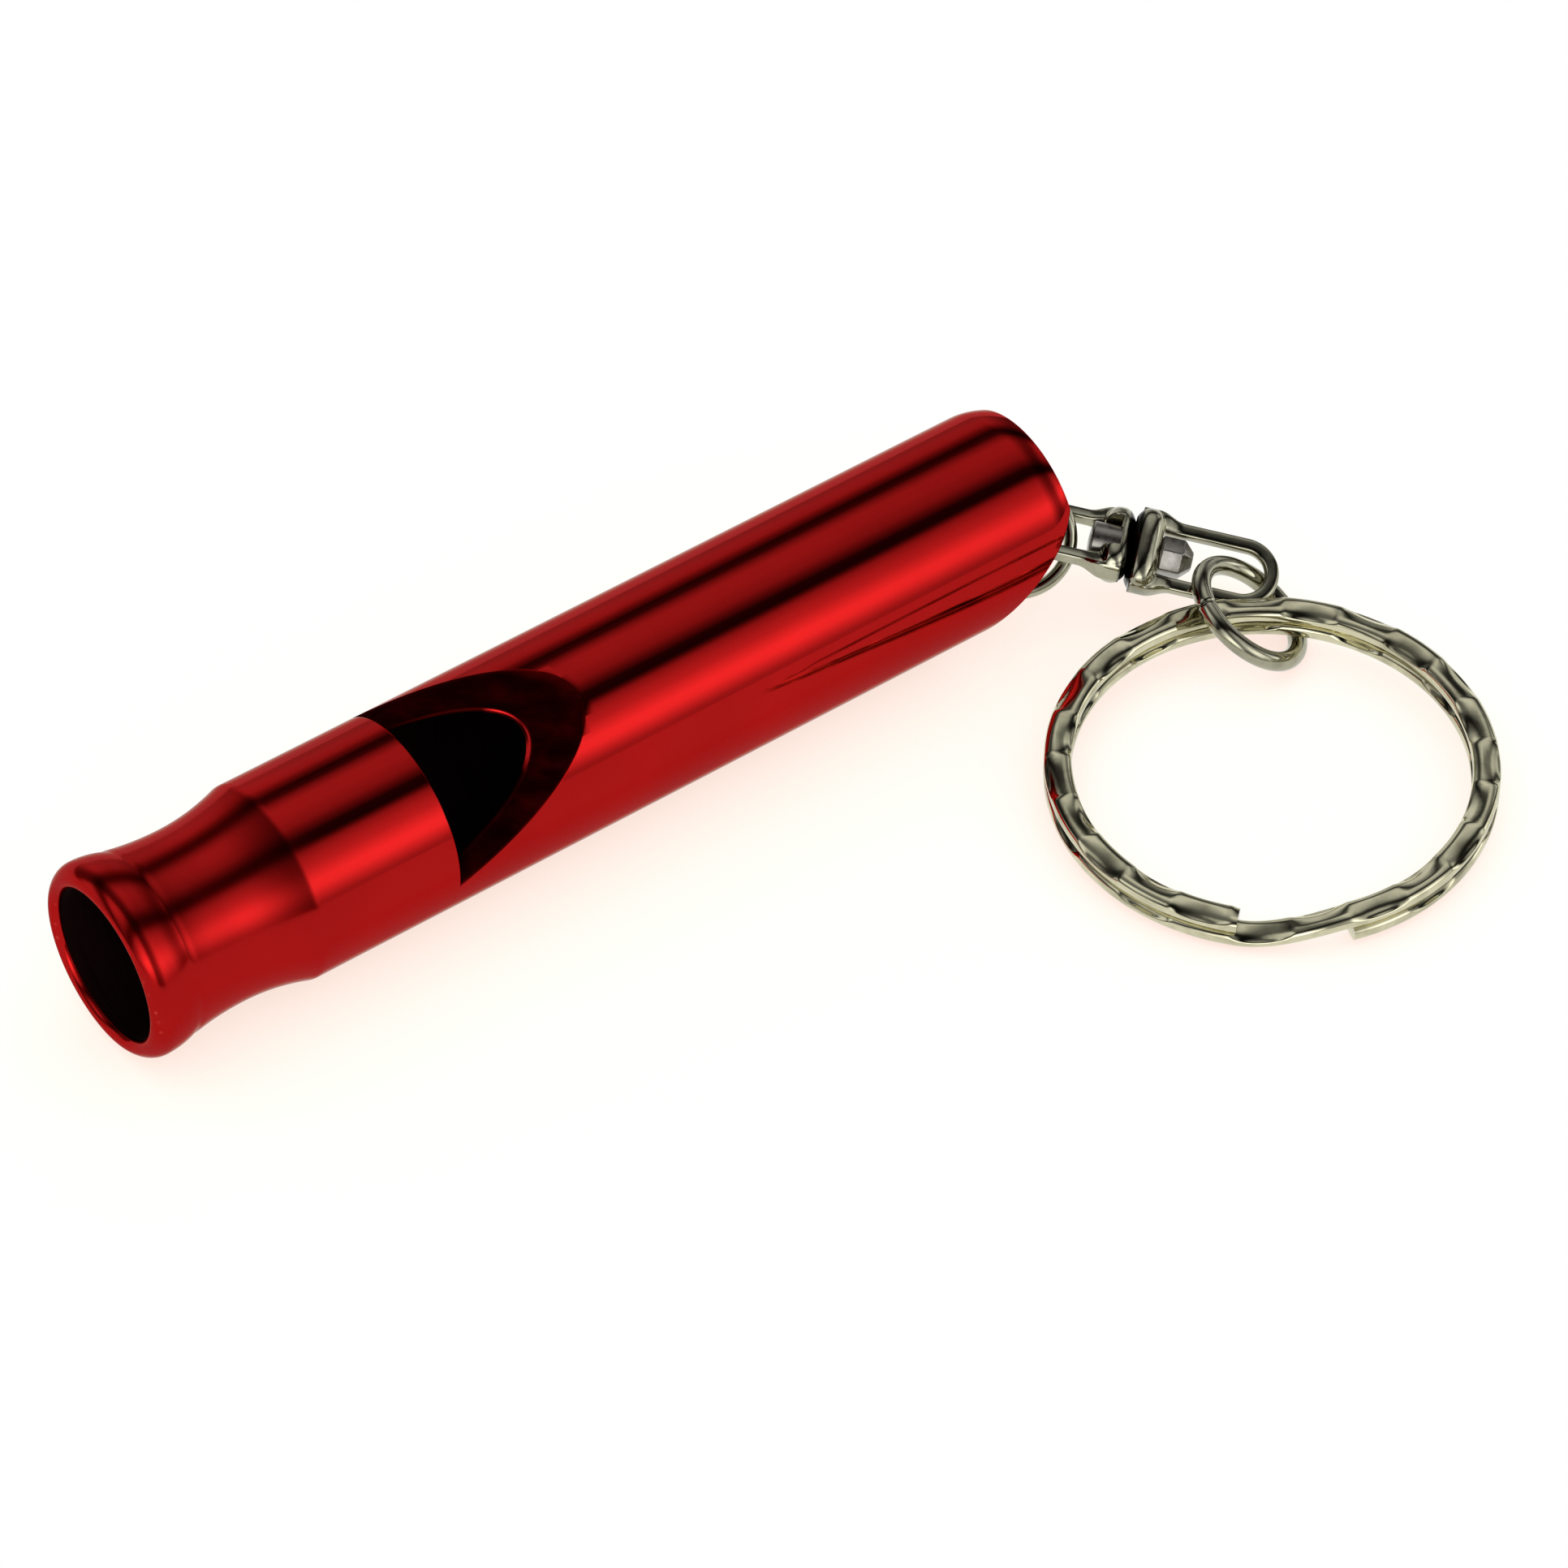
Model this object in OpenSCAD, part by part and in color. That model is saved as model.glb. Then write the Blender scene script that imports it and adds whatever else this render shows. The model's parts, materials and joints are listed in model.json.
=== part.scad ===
// Training whistle on a key-ring chain. Millimetres, +X from the mouthpiece to the tail, +Z up.
// The origin is on the tube's axis, in the plane of the mouthpiece's front face.

/* [Whistle tube] */
// Length of the whistle tube
tube_len = 61.1; // [60.9:0.1:70]
// Outer radius of the whistle tube
tube_r = 5.75; // [5.6:0.05:6.5]
// Radius of the mouthpiece bore, as deep as the front of the windway block
mouth_bore_r = 4.45; // [4.42:0.01:4.6]
// Radius of the bore behind the mouthpiece
bore_r = 4.4; // [4:0.01:4.4]
// Radius of the rounded front of the lip
lip_front_r = 1.25; // [1.2:0.05:1.3]
// Radius of the lip's rounded inner edge
lip_inner_r = 0.45; // [0.3:0.05:0.5]
// Radius of the flatter back of the lip
lip_back_r = 4.9; // [4.5:0.1:5.5]
// Distance from the front face to the groove behind the lip
lip_len = 2.85; // [2.7:0.05:3]
// Distance from the front face to the slimmest place of the waist
waist_x = 6.3; // [6:0.1:6.8]
// Outer radius at the slimmest place of the waist
waist_r = 5.08; // [5:0.01:5.2]
// Radius of the waist's curve towards the lip
waist_front_r = 18; // [16:0.5:20]
// Radius of the waist's curve towards the barrel
waist_back_r = 13.2; // [12:0.1:15]
// Length of the eased edge at the tail
tail_ease_len = 1.6; // [0.5:0.1:2]
// Depth of the eased edge at the tail
tail_ease_depth = 0.3; // [0.1:0.05:0.4]

/* [Sound window] */
// Distance from the front face to the window's upright wall
window_x = 19.1; // [17:0.1:21]
// Height of the window's floor above the axis, at the upright wall
window_floor = 1.7; // [1:0.1:2.5]
// Slope of the window's floor
window_slope = 21.7; // [18:0.1:26]
// Turn of the window about the tube's axis, from straight up
window_roll = 26; // [0:1:60]

/* [Tail bevel] */
// Distance along the axis at which the bevel crosses it
bevel_x = 58.66; // [58:0.01:59]
// Slope of the bevel
bevel_slope = 47.9; // [40:0.1:55]

/* [Windway block] */
// Distance from the front face to the front of the block
block_x = 7.3; // [5:0.1:9]
// Height of the windway above the block's flat
windway_h = 1.2; // [0.8:0.1:1.6]
// Width of the bevel on the block's front edge
block_chamfer = 0.4; // [0.2:0.1:0.6]

/* [Tail plug] */
// Distance from the front face to the plug's inner end
plug_x = 48.3; // [44:0.1:49]
// Length of the plug's round body
plug_len = 4; // [3:0.5:5]
// Distance from the front face to the eye's centre
eye_x = 57.41; // [57.3:0.01:57.5]
// Height of the eye's centre, from the tube's axis
eye_z = -2.12; // [-2.2:0.01:-2.05]
// Radius of the eye's hole
eye_hole_r = 0.72; // [0.7:0.01:0.75]
// Outer radius of the eye
eye_r = 1.5; // [1.4:0.05:1.5]
// Thickness of the eye's plate
eye_t = 1.3; // [1:0.05:1.4]

/* [Tail ring] */
// Radius of the tail ring, to the middle of the wire
tail_ring_r = 3.05; // [3.05:0.01:3.1]
// Radius of the tail ring's wire
tail_wire_r = 0.4; // [0.36:0.01:0.42]
// Compass direction of the tail ring's normal
tail_ring_turn = -126.63; // [-130:0.01:-120]
// Slope of the tail ring's normal above the level
tail_ring_rise = 44.6; // [40:0.1:50]
// Angle by which the tail ring hangs off the square line through the eye
tail_ring_lead = 10.9; // [8:0.1:12]

/* [Swivel] */
// Centre of the gap between the two stirrups
swivel_c = [65, -5.39, -1.88];
// Compass direction of the swivel's axis
swivel_turn = -46.24; // [-50:0.01:-42]
// Slope of the swivel's axis below the level
swivel_drop = 8.81; // [5:0.01:12]
// Turn of the rear stirrup about the swivel's axis
rear_roll = 25.1; // [0:0.1:40]
// Distance from the gap's centre to the far end of a stirrup
stirrup_len = 8.5; // [8:0.1:9]
// Outer width of a stirrup
stirrup_w = 4.15; // [4:0.05:4.4]
// Width of a stirrup's legs
leg_w = 0.8; // [0.7:0.05:0.85]
// Thickness of a stirrup's legs
leg_t = 0.75; // [0.6:0.05:0.85]
// Thickness of a stirrup's base, across the swivel's axis
base_h = 2.05; // [1.8:0.05:2.2]
// Length of a stirrup's base, along the swivel's axis
base_len = 1.45; // [1.2:0.05:1.5]
// Radius that rounds the corners of a stirrup's base
base_round_r = 2.2; // [2.15:0.05:2.3]
// Gap between the two stirrups
stirrup_gap = 0.2; // [0.2:0.05:0.4]

/* [Rivet] */
// Radius of the rivet's shank
shank_r = 0.65; // [0.5:0.01:0.7]
// Radius of the front head
front_head_r = 1; // [0.9:0.05:1.1]
// Length of the front head
front_head_len = 0.85; // [0.6:0.05:0.9]
// Radius of the rear head
rear_head_r = 1.15; // [1:0.05:1.2]
// Length of the rear head
rear_head_len = 1.9; // [1:0.1:2]
// Length of the blunt cone that ends the rear head
rear_cone_len = 0.6; // [0.4:0.1:0.8]

/* [Link ring] */
// Radius of the link ring, to the middle of the wire
link_ring_r = 3.4; // [3.35:0.01:3.45]
// Radius of the link ring's wire
link_wire_r = 0.56; // [0.5:0.01:0.58]
// Centre of the link ring
link_ring_c = [67.93, -12.46, -3.2];
// Compass direction of the link ring's normal
link_ring_turn = -33.35; // [-45:0.01:-20]
// Slope of the link ring's normal above the level
link_ring_rise = 54.23; // [45:0.01:65]

/* [Split ring] */
// Outer radius of the split ring
split_r = 12.5; // [12:0.5:12.5]
// Radial width of the split ring's wire
split_w = 1.55; // [1.4:0.05:1.6]
// Height of one turn of the split ring
split_turn_h = 0.95; // [0.8:0.05:1]
// Gap between the split ring's two turns
split_gap = 0.08; // [0.05:0.01:0.12]
// Centre of the split ring
split_c = [61.56, -22.26, -3.95];
// Tilt of the split ring, which rests on the link ring
split_tilt = 2.67; // [0:0.01:4]
// Compass direction of the hinge line of that tilt
split_tilt_turn = -36.63; // [-45:0.01:-30]
// Compass direction of the upper turn's free end
split_end_turn = 222; // [200:1:240]
// Angle between the free ends of the two turns
split_step = 30; // [20:1:40]

/* [Hidden] */
$fn = 96;
// Overlap that keeps a cut or a joined solid from ending on another one's face
over = 0.5;
// Running clearance between the rivet's shank and the rear stirrup
run_gap = 0.07;
// Clearance between the rear stirrup's base and the rivet's rear head
head_gap = 0.1;
// How far each end of the split ring's step reaches into a turn
step_lap = 0.26;
steel = [0.78, 0.77, 0.73];

// Unit vector with a compass direction and a slope above the level
function heading(turn, rise) = [cos(turn) * cos(rise), sin(turn) * cos(rise), sin(rise)];

tail_ring_n = heading(tail_ring_turn, tail_ring_rise);
// The eye's hole lies across the tube and at right angles to the tail ring's normal
eye_roll = atan2(-tail_ring_n.y, tail_ring_n.z);
eye_axis = [0, cos(eye_roll), sin(eye_roll)];
eye_c = [eye_x, 0, eye_z];
tail_ring_c = eye_c + tail_ring_r *
    (cos(tail_ring_lead) * cross(eye_axis, tail_ring_n) - sin(tail_ring_lead) * eye_axis);

// Turned outline of the tube's wall, with the radius along X and the length along Y
module tube_outline() {
    barrel_x = waist_x + sqrt(pow(waist_back_r, 2) - pow(waist_back_r + waist_r - tube_r, 2));
    ease_r = (pow(tail_ease_len, 2) + pow(tail_ease_depth, 2)) / (2 * tail_ease_depth);
    ease_x = tube_len - tail_ease_len;
    // The lip's inner edge rounds off inside its front circle, and the two touch at join
    lip_x = lip_inner_r + sqrt(pow(lip_front_r - lip_inner_r, 2) - pow(lip_inner_r, 2));
    front_c = [mouth_bore_r, lip_x];
    inner_c = [mouth_bore_r + lip_inner_r, lip_inner_r];
    join = front_c + (inner_c - front_c) * lip_front_r / (lip_front_r - lip_inner_r);

    // Lip, from its bore to its widest place
    translate(inner_c) circle(lip_inner_r);
    intersection() {
        translate(front_c) circle(lip_front_r);
        polygon([front_c, [mouth_bore_r, lip_inner_r], inner_c, 2 * join - inner_c,
                 [2 * tube_r, 0], [2 * tube_r, lip_x]]);
    }
    // Flatter back of the lip
    intersection() {
        translate([mouth_bore_r + lip_front_r - lip_back_r, lip_x]) circle(lip_back_r);
        translate([mouth_bore_r, lip_x]) square([tube_r, lip_len - lip_x]);
    }
    // Waist, up to the crest where it meets the barrel
    difference() {
        translate([mouth_bore_r, lip_len]) square([tube_r - mouth_bore_r, barrel_x - lip_len]);
        intersection() {
            translate([waist_r + waist_front_r, waist_x]) circle(waist_front_r);
            translate([waist_r - over, lip_len - over])
                square([tube_r, waist_x - lip_len + over]);
        }
        intersection() {
            translate([waist_r + waist_back_r, waist_x]) circle(waist_back_r);
            translate([waist_r - over, waist_x]) square([tube_r, barrel_x - waist_x + over]);
        }
    }
    // Barrel and its eased tail edge
    translate([mouth_bore_r, barrel_x]) square([tube_r - mouth_bore_r, ease_x - barrel_x]);
    intersection() {
        translate([tube_r - ease_r, ease_x]) circle(ease_r);
        translate([mouth_bore_r, ease_x]) square([tube_r, tail_ease_len]);
    }
    // Slightly narrower bore behind the windway block's front
    translate([bore_r, block_x]) square([mouth_bore_r - bore_r, tube_len - block_x]);
}

// Wedge above the window's sloping floor and behind its upright wall
module window_cut() {
    rise = 2 * tube_r - window_floor;
    rotate([window_roll, 0, 0]) rotate([90, 0, 0]) linear_extrude(4 * tube_r, center = true)
        polygon([[window_x, window_floor], [window_x, window_floor + rise],
                 [window_x + rise / tan(window_slope), window_floor + rise]]);
}

// Wedge below the tail's bevel
module bevel_cut() {
    reach = 2 * tube_r;
    run = reach / tan(bevel_slope);
    rotate([90, 0, 0]) linear_extrude(4 * tube_r, center = true)
        polygon([[bevel_x - run, -reach], [bevel_x + run, reach], [tube_len + reach, -reach]]);
}

module whistle_tube() {
    color("crimson") difference() {
        rotate([0, 90, 0]) rotate([0, 0, 90]) rotate_extrude() tube_outline();
        window_cut();
        bevel_cut();
    }
}

// Round block with a flat along its top, which leaves the windway
module fipple_plug() {
    len = window_x - block_x;
    flat_z = bore_r - windway_h;
    color("dimgray") rotate([window_roll, 0, 0]) difference() {
        translate([block_x, 0, 0]) rotate([0, 90, 0]) union() {
            cylinder(h = block_chamfer, r1 = bore_r - block_chamfer, r2 = bore_r);
            translate([0, 0, block_chamfer]) cylinder(h = len - block_chamfer, r = bore_r);
        }
        translate([block_x - over, -bore_r - over, flat_z])
            cube([len + 2 * over, 2 * (bore_r + over), bore_r]);
    }
}

// Plug that closes the tube, with a plate and an eye for the tail ring
module tail_plug() {
    color("silver") {
        translate([plug_x, 0, 0]) rotate([0, 90, 0]) cylinder(h = plug_len, r = bore_r);
        translate([0, 0, eye_z]) rotate([eye_roll, 0, 0]) rotate([90, 0, 0]) difference() {
            union() {
                translate([eye_x, 0, 0]) cylinder(h = eye_t, r = eye_r, center = true);
                translate([plug_x + plug_len - over, -eye_r, -eye_t / 2])
                    cube([eye_x - plug_x - plug_len + over, 2 * eye_r, eye_t]);
            }
            translate([eye_x, 0, 0]) cylinder(h = 2 * eye_t, r = eye_hole_r, center = true);
        }
    }
}

// Round wire ring about a centre, square to a heading
module jump_ring(centre, turn, rise, ring_r, wire_r) {
    color(steel) translate(centre) rotate([0, 90 - rise, turn])
        rotate_extrude() translate([ring_r, 0]) circle(wire_r);
}

module tail_jump_ring()
    jump_ring(tail_ring_c, tail_ring_turn, tail_ring_rise, tail_ring_r, tail_wire_r);

module link_jump_ring()
    jump_ring(link_ring_c, link_ring_turn, link_ring_rise, link_ring_r, link_wire_r);

// Puts a child, drawn along +X from the gap's centre, onto the swivel's axis
module on_swivel(roll) {
    translate(swivel_c) rotate([0, swivel_drop, swivel_turn]) rotate([roll, 0, 0]) children();
}

// Outline of a stirrup's loop: straight legs and a round end
module loop_outline(half_w, end_x) {
    translate([stirrup_gap / 2, -half_w]) square([end_x - half_w - stirrup_gap / 2, 2 * half_w]);
    translate([end_x - half_w, 0]) circle(half_w);
}

// One stirrup along +X: a flat loop on a thick base that is bored for the rivet
module stirrup(hole_r) {
    half_w = stirrup_w / 2;
    base_end = stirrup_gap / 2 + base_len;
    shoulder_h = (base_h + leg_t) / 2;
    color(steel) difference() {
        union() {
            linear_extrude(leg_t, center = true) difference() {
                loop_outline(half_w, stirrup_len);
                translate([base_end, 0]) loop_outline(half_w - leg_w, stirrup_len - leg_w - base_end);
                translate([0, leg_w - half_w]) square([base_end + over, stirrup_w - 2 * leg_w]);
            }
            // Base, rounded at its corners
            intersection() {
                translate([stirrup_gap / 2, -half_w, -base_h / 2]) cube([base_len, stirrup_w, base_h]);
                rotate([0, 90, 0]) cylinder(h = base_end, r = base_round_r);
            }
            // Shoulders between the base and the legs
            for (side = [-1, 1])
                translate([base_end - over, side * (half_w - leg_w / 2) - leg_w / 2, -shoulder_h / 2])
                    cube([leg_w + over, leg_w, shoulder_h]);
        }
        rotate([0, 90, 0]) cylinder(h = stirrup_len / 2, r = hole_r);
    }
}

module front_swivel_frame() on_swivel(0) mirror([1, 0, 0]) stirrup(shank_r);

module rear_swivel_frame() on_swivel(rear_roll) stirrup(shank_r + run_gap);

// Shank with a head inside each stirrup; the rear head ends in a blunt cone
module swivel_rivet() {
    base_end = stirrup_gap / 2 + base_len;
    rear_x = base_end + head_gap;
    straight_len = rear_head_len - rear_cone_len;
    color("gray") on_swivel(0) rotate([0, 90, 0]) {
        translate([0, 0, -base_end - front_head_len]) cylinder(h = front_head_len, r = front_head_r);
        translate([0, 0, -base_end - front_head_len / 2])
            cylinder(h = base_end + rear_x + front_head_len / 2 + over, r = shank_r);
        translate([0, 0, rear_x]) cylinder(h = straight_len, r = rear_head_r);
        translate([0, 0, rear_x + straight_len])
            cylinder(h = rear_cone_len, r1 = rear_head_r, r2 = shank_r);
    }
}

// One turn of the split ring, from the step round to a free end
module split_turn(bottom_z) {
    rotate([0, 0, split_end_turn + split_step]) rotate_extrude(angle = 360 - split_step)
        translate([split_r - split_w, bottom_z]) square([split_w, split_turn_h]);
}

// Two turns joined by a sloping step
module split_ring() {
    mid_r = split_r - split_w / 2;
    half_step = mid_r * sin(split_step / 2) + step_lap;
    pitch = split_turn_h + split_gap;
    // The step is straight, so it lies a little inside the arc that it spans
    step_r = mid_r * cos(split_step / 4);
    color(steel) translate(split_c) rotate(a = split_tilt, v = heading(split_tilt_turn, 0)) {
        split_turn(split_gap / 2);
        split_turn(split_gap / 2 - pitch);
        rotate([0, 0, split_end_turn + split_step / 2 - 90]) translate([0, step_r + split_w / 2, 0])
            rotate([90, 0, 0]) linear_extrude(split_w)
                polygon([[half_step, split_gap / 2 - pitch], [half_step, -split_gap / 2],
                         [-half_step, split_gap / 2 + split_turn_h], [-half_step, split_gap / 2]]);
    }
}

whistle_tube();
fipple_plug();
tail_plug();
tail_jump_ring();
front_swivel_frame();
rear_swivel_frame();
swivel_rivet();
link_jump_ring();
split_ring();
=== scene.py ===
import json
import math

import bmesh
import bpy
from mathutils import Matrix, Quaternion, Vector

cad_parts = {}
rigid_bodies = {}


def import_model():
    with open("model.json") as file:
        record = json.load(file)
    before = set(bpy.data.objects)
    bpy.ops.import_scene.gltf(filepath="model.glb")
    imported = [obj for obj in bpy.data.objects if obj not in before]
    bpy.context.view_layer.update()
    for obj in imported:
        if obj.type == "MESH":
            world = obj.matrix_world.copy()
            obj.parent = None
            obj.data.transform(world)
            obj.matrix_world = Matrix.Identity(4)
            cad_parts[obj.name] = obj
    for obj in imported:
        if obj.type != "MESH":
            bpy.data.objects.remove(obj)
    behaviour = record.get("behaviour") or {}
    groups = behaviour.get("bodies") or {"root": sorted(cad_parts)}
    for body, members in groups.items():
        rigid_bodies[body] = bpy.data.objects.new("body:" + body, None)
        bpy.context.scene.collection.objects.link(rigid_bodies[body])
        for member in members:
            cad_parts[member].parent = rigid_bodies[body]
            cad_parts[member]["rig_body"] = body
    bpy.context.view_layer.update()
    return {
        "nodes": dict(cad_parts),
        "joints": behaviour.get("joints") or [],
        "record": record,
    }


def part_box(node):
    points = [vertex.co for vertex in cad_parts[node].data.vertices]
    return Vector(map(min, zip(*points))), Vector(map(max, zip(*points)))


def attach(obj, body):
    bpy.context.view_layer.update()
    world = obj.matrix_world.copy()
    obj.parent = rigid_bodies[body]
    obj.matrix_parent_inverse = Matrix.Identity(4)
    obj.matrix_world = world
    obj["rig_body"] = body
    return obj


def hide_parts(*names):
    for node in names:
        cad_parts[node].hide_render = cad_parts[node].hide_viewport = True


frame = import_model()

# Lengths below are in millimetres; MM turns them into Blender's metres.
MM = 0.001
Z_AXIS = Vector((0, 0, 1))
JOINTS = {joint["name"]: joint for joint in frame["joints"]}
MOUNTS = {mount["name"]: mount for mount in frame["record"]["mounts"]}


# ---------------------------------------------------------------- places from the frame

def millimetres(point):
    """A point of the frame, which is in metres, in millimetres."""
    return Vector(point) / MM


def box_centre(node):
    """Centre of a CAD node's box."""
    low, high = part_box(node)
    return millimetres((low + high) / 2)


def local_frame(origin, x_axis, y_axis):
    """Matrix from a local frame to the row's, in millimetres."""
    z_axis = x_axis.cross(y_axis)
    matrix = Matrix((x_axis, y_axis, z_axis)).transposed().to_4x4()
    matrix.translation = origin
    return matrix


TUBE_LEN = millimetres(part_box("whistle_tube")[1]).x
TUBE_R = millimetres(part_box("whistle_tube")[1]).y
FLOOR_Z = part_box("whistle_tube")[0].z

# ---------------------------------------------------------------- whistle tube sizes

MOUTH_BORE_R = 4.45
BORE_R = 4.4
BLOCK_X = 7.3
LIP_FRONT_R = 1.25
LIP_INNER_R = 0.45
LIP_BACK_R = 4.9
LIP_LEN = 2.85
LIP_X = LIP_INNER_R + math.sqrt((LIP_FRONT_R - LIP_INNER_R) ** 2 - LIP_INNER_R ** 2)
WAIST_X = 6.3
WAIST_R = 5.08
WAIST_FRONT_R = 18.0
WAIST_BACK_R = 13.2
TAIL_EASE_LEN = 1.6
TAIL_EASE_DEPTH = 0.3
BARREL_X = WAIST_X + math.sqrt(WAIST_BACK_R ** 2 - (WAIST_BACK_R + WAIST_R - TUBE_R) ** 2)
EASE_X = TUBE_LEN - TAIL_EASE_LEN
EASE_R = (TAIL_EASE_LEN ** 2 + TAIL_EASE_DEPTH ** 2) / (2 * TAIL_EASE_DEPTH)

WINDOW_X = 19.1
WINDOW_FLOOR = 1.7
WINDOW_SLOPE = math.radians(21.7)
WINDOW_ROLL = math.radians(26)
BEVEL_X = 58.66
BEVEL_SLOPE = math.radians(47.9)

# The crest between waist and barrel is rounded over this distance to each side of a point.
CREST_HALF = 0.18
CREST_SAMPLES = 9

# Spacing of the outline's points, and the number of steps in its arcs.
TUBE_SEGMENTS = 256
TUBE_STEP = 0.7
WAIST_STEP = 0.25
CREST_STEP = 0.05
CREST_REACH = 0.4
EASE_STEP = 0.1
WALL_STEP = 0.3
MOUTH_BORE_X = 0.5
LIP_STEPS = 14
LIP_BACK_STEPS = 16
TUBE_MERGE = 0.004


# ---------------------------------------------------------------- mesh building

def new_object(name, points, faces):
    """Mesh object from points in millimetres."""
    mesh = bpy.data.meshes.new(name)
    mesh.from_pydata([Vector(point) * MM for point in points], [], faces)
    mesh.update()
    made = bpy.data.objects.new(name, mesh)
    bpy.context.scene.collection.objects.link(made)
    return made


def tidy_mesh(piece, merge=1e-4):
    """Joins points closer than merge millimetres and turns the faces outwards."""
    mesh = bmesh.new()
    mesh.from_mesh(piece.data)
    bmesh.ops.remove_doubles(mesh, verts=mesh.verts, dist=merge * MM)
    bmesh.ops.dissolve_degenerate(mesh, edges=mesh.edges, dist=merge * MM)
    bmesh.ops.recalc_face_normals(mesh, faces=mesh.faces)
    mesh.to_mesh(piece.data)
    mesh.free()


def apply_modifiers(piece):
    """Replaces the piece's mesh by its mesh with all modifiers applied."""
    depsgraph = bpy.context.evaluated_depsgraph_get()
    mesh = bpy.data.meshes.new_from_object(piece.evaluated_get(depsgraph))
    piece.modifiers.clear()
    piece.data = mesh


def shade_smooth(piece, sharp_angle=35):
    """Smooth shading that keeps edges above an angle sharp."""
    piece.data.shade_smooth()
    piece.data.set_sharp_from_angle(angle=math.radians(sharp_angle))


def revolve(name, profile, segments, closed):
    """Turns a profile of (x, radius) points about the X axis."""
    points = []
    for x, radius in profile:
        for step in range(segments):
            turn = 2 * math.pi * step / segments
            points.append((x, radius * math.cos(turn), radius * math.sin(turn)))
    faces = []
    rows = len(profile)
    for row in range(rows if closed else rows - 1):
        for step in range(segments):
            a = row * segments + step
            b = row * segments + (step + 1) % segments
            c = (row + 1) % rows * segments + (step + 1) % segments
            d = (row + 1) % rows * segments + step
            faces.append((a, b, c, d))
    made = new_object(name, points, faces)
    tidy_mesh(made)
    return made


def prism(name, outline, half_width):
    """Extrudes an outline in the XZ plane to both sides of it."""
    count = len(outline)
    points = [(x, -half_width, z) for x, z in outline] + [(x, half_width, z) for x, z in outline]
    faces = [tuple(range(count)), tuple(range(2 * count - 1, count - 1, -1))]
    for i in range(count):
        after = (i + 1) % count
        faces.append((i, i + count, after + count, after))
    made = new_object(name, points, faces)
    tidy_mesh(made)
    return made


def cut(piece, cutter):
    """Takes the cutter out of the piece, and removes the cutter."""
    bpy.context.view_layer.update()
    boolean = piece.modifiers.new("cut", "BOOLEAN")
    boolean.operation = "DIFFERENCE"
    boolean.solver = "EXACT"
    boolean.object = cutter
    apply_modifiers(piece)
    bpy.data.objects.remove(cutter)


def place(piece, matrix):
    """Moves a piece's mesh by a matrix in millimetres, so that its object stays at the origin."""
    scaled = matrix.copy()
    scaled.translation = matrix.translation * MM
    piece.data.transform(scaled)
    piece.data.update()


def superellipse(width, height, power, count):
    """Outline of a rectangle with rounded corners; a higher power makes them squarer."""
    outline = []
    for step in range(count):
        turn = 2 * math.pi * step / count
        across, along = math.cos(turn), math.sin(turn)
        outline.append((
            math.copysign(abs(across) ** (2 / power), across) * width / 2,
            math.copysign(abs(along) ** (2 / power), along) * height / 2,
        ))
    return outline


def sweep(name, stations, closed):
    """Skins a list of rings of points, with a cap on each end unless it is closed."""
    count = len(stations[0])
    points = [point for ring in stations for point in ring]
    rows = len(stations)
    faces = []
    for row in range(rows if closed else rows - 1):
        for i in range(count):
            a = row * count + i
            b = row * count + (i + 1) % count
            c = (row + 1) % rows * count + (i + 1) % count
            d = (row + 1) % rows * count + i
            faces.append((a, b, c, d))
    if not closed:
        faces.append(tuple(range(count)))
        faces.append(tuple(range((rows - 1) * count, rows * count)))
    made = new_object(name, points, faces)
    tidy_mesh(made)
    return made


def smooth_step(value):
    """0 below 0, 1 above 1 and smooth in between."""
    share = min(1.0, max(0.0, value))
    return share * share * (3 - 2 * share)


# ---------------------------------------------------------------- shader nodes

NOISE_RANGE = (0.3, 0.7)


def add_node(tree, kind, settings=None, **inputs):
    """Adds a node. Inputs are sockets or values, named as in Blender with _ for a space."""
    node = tree.nodes.new(kind)
    for key, value in (settings or {}).items():
        setattr(node, key, value)
    for key, value in inputs.items():
        if key.startswith("in_"):
            socket = node.inputs[int(key[3:])]
        else:
            socket = node.inputs[key.replace("_", " ")]
        if isinstance(value, bpy.types.NodeSocket):
            tree.links.new(value, socket)
        else:
            socket.default_value = value
    return node


def calculate(tree, operation, first, second=0.0):
    """A Math node's result."""
    return add_node(tree, "ShaderNodeMath", {"operation": operation}, in_0=first, in_1=second).outputs[0]


def noise(tree, scale, stretch=(1, 1, 1), detail=3.0, roughness=0.5):
    """Noise over the object's own coordinates; scale is in waves per millimetre."""
    coords = add_node(tree, "ShaderNodeTexCoord").outputs["Object"]
    mapping = add_node(tree, "ShaderNodeMapping", Vector=coords)
    mapping.inputs["Scale"].default_value = [scale * share / MM for share in stretch]
    return add_node(
        tree, "ShaderNodeTexNoise", Vector=mapping.outputs[0],
        Scale=1.0, Detail=detail, Roughness=roughness,
    ).outputs["Fac"]


def remap(tree, value, low, high, new_low, new_high):
    """Maps low..high onto new_low..new_high and clamps."""
    return add_node(
        tree, "ShaderNodeMapRange", Value=value,
        From_Min=low, From_Max=high, To_Min=new_low, To_Max=new_high,
    ).outputs[0]


def vary(tree, value, low, high):
    """Spreads a noise, which seldom leaves NOISE_RANGE, over low..high."""
    return remap(tree, value, *NOISE_RANGE, low, high)


def mix_colour(tree, factor, first, second):
    """Mix of two colours."""
    mix = add_node(tree, "ShaderNodeMix", {"data_type": "RGBA"})
    for socket, value in ((0, factor), (6, first), (7, second)):
        if isinstance(value, bpy.types.NodeSocket):
            tree.links.new(value, mix.inputs[socket])
        elif socket:
            mix.inputs[socket].default_value = (*value, 1)
        else:
            mix.inputs[socket].default_value = value
    return mix.outputs[2]


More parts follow.
